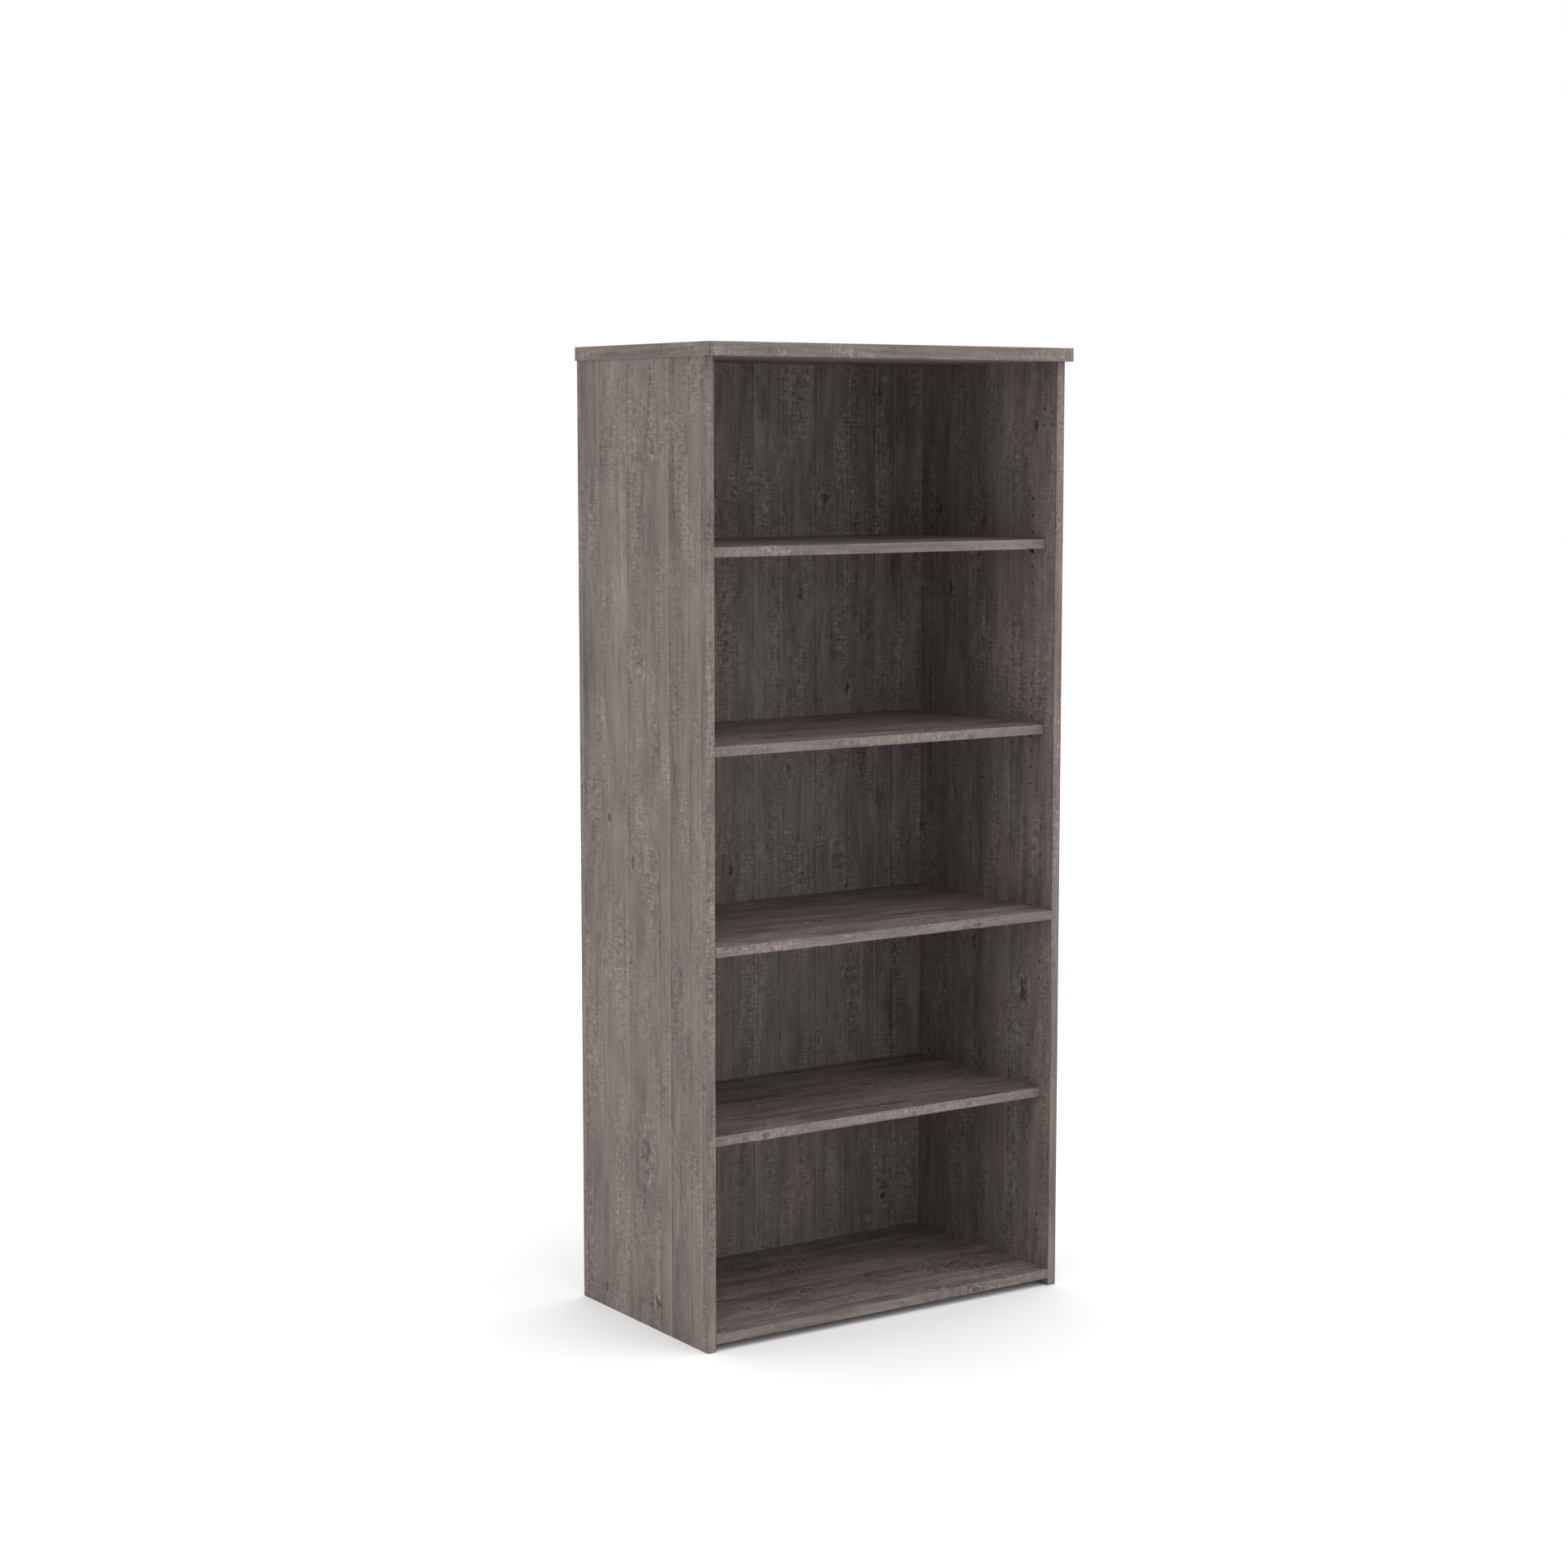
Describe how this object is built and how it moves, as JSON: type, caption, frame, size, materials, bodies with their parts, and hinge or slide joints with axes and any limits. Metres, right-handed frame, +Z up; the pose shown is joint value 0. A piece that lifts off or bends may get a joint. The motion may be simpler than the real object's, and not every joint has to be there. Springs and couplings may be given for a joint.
{
  "type": "bookcase with adjustable shelves",
  "caption": "Tall open bookcase of grey-brown oak-look boards: thick top, shelves on plug-in supports above and below a fixed middle shelf, rows of holes for setting shelf heights.",
  "frame": {"origin": "on the floor, under the centre of the bookcase's overall width and depth", "axes": "+Z up, +X to the right seen from the front, the open front faces -Y"},
  "size_m": [0.8, 0.465, 1.79],
  "materials": {
    "oak_board": "matt grey-brown oak decor on melamine-faced board, fine grain along each board",
    "edge_band": "matt plastic edge band printed to match the boards",
    "support_metal": "dark burnished metal",
    "cam_zinc": "bare die-cast zinc",
    "bolt_steel": "yellow-passivated steel",
    "beech_dowel": "bare beech",
    "cap_plastic": "plain matt grey-brown"
  },
  "bodies": {
    "carcass": {"top_panel": "oak_board", "top_edge_front": "edge_band", "top_edge_rear": "edge_band", "top_edge_left": "edge_band", "top_edge_right": "edge_band", "left_side_panel": "oak_board", "left_side_edge": "edge_band", "right_side_panel": "oak_board", "right_side_edge": "edge_band", "back_panel": "oak_board", "bottom_panel": "oak_board", "bottom_panel_edge": "edge_band", "fixed_shelf": "oak_board", "fixed_shelf_edge": "edge_band", "top_side_cams": "cam_zinc", "top_side_cam_bolts": "bolt_steel", "top_side_dowels": "beech_dowel", "back_cams": "cam_zinc", "back_cam_bolts": "bolt_steel", "back_dowels": "beech_dowel", "bottom_panel_cams": "cam_zinc", "bottom_panel_cam_bolts": "bolt_steel", "bottom_panel_dowels": "beech_dowel", "fixed_shelf_cams": "cam_zinc", "fixed_shelf_cam_bolts": "bolt_steel", "fixed_shelf_dowels": "beech_dowel", "top_side_cover_caps": "cap_plastic", "back_cover_caps": "cap_plastic"},
    "shelf_lower": {"lower_shelf": "oak_board", "lower_shelf_edge": "edge_band"},
    "shelf_middle": {"middle_shelf": "oak_board", "middle_shelf_edge": "edge_band"},
    "shelf_upper": {"upper_shelf": "oak_board", "upper_shelf_edge": "edge_band"},
    "support_lower_front_left": {"lower_support_front_left": "support_metal"},
    "support_lower_rear_left": {"lower_support_rear_left": "support_metal"},
    "support_lower_front_right": {"lower_support_front_right": "support_metal"},
    "support_lower_rear_right": {"lower_support_rear_right": "support_metal"},
    "support_middle_front_left": {"middle_support_front_left": "support_metal"},
    "support_middle_rear_left": {"middle_support_rear_left": "support_metal"},
    "support_middle_front_right": {"middle_support_front_right": "support_metal"},
    "support_middle_rear_right": {"middle_support_rear_right": "support_metal"},
    "support_upper_front_left": {"upper_support_front_left": "support_metal"},
    "support_upper_rear_left": {"upper_support_rear_left": "support_metal"},
    "support_upper_front_right": {"upper_support_front_right": "support_metal"},
    "support_upper_rear_right": {"upper_support_rear_right": "support_metal"}
  },
  "joints": [
    {"name": "shelf_lower_height", "type": "slide", "parent": "carcass", "child": "shelf_lower", "axis": [0, 0, 1], "range_m": [-0.096, 0.096]},
    {"name": "shelf_middle_height", "type": "slide", "parent": "carcass", "child": "shelf_middle", "axis": [0, 0, 1], "range_m": [-0.096, 0.096]},
    {"name": "shelf_upper_height", "type": "slide", "parent": "carcass", "child": "shelf_upper", "axis": [0, 0, 1], "range_m": [-0.096, 0.096]},
    {"name": "support_lower_front_left_pull", "type": "slide", "parent": "shelf_lower", "child": "support_lower_front_left", "axis": [1, 0, 0], "range_m": [0, 0.01]},
    {"name": "support_lower_rear_left_pull", "type": "slide", "parent": "shelf_lower", "child": "support_lower_rear_left", "axis": [1, 0, 0], "range_m": [0, 0.01]},
    {"name": "support_lower_front_right_pull", "type": "slide", "parent": "shelf_lower", "child": "support_lower_front_right", "axis": [-1, 0, 0], "range_m": [0, 0.01]},
    {"name": "support_lower_rear_right_pull", "type": "slide", "parent": "shelf_lower", "child": "support_lower_rear_right", "axis": [-1, 0, 0], "range_m": [0, 0.01]},
    {"name": "support_middle_front_left_pull", "type": "slide", "parent": "shelf_middle", "child": "support_middle_front_left", "axis": [1, 0, 0], "range_m": [0, 0.01]},
    {"name": "support_middle_rear_left_pull", "type": "slide", "parent": "shelf_middle", "child": "support_middle_rear_left", "axis": [1, 0, 0], "range_m": [0, 0.01]},
    {"name": "support_middle_front_right_pull", "type": "slide", "parent": "shelf_middle", "child": "support_middle_front_right", "axis": [-1, 0, 0], "range_m": [0, 0.01]},
    {"name": "support_middle_rear_right_pull", "type": "slide", "parent": "shelf_middle", "child": "support_middle_rear_right", "axis": [-1, 0, 0], "range_m": [0, 0.01]},
    {"name": "support_upper_front_left_pull", "type": "slide", "parent": "shelf_upper", "child": "support_upper_front_left", "axis": [1, 0, 0], "range_m": [0, 0.01]},
    {"name": "support_upper_rear_left_pull", "type": "slide", "parent": "shelf_upper", "child": "support_upper_rear_left", "axis": [1, 0, 0], "range_m": [0, 0.01]},
    {"name": "support_upper_front_right_pull", "type": "slide", "parent": "shelf_upper", "child": "support_upper_front_right", "axis": [-1, 0, 0], "range_m": [0, 0.01]},
    {"name": "support_upper_rear_right_pull", "type": "slide", "parent": "shelf_upper", "child": "support_upper_rear_right", "axis": [-1, 0, 0], "range_m": [0, 0.01]}
  ]
}
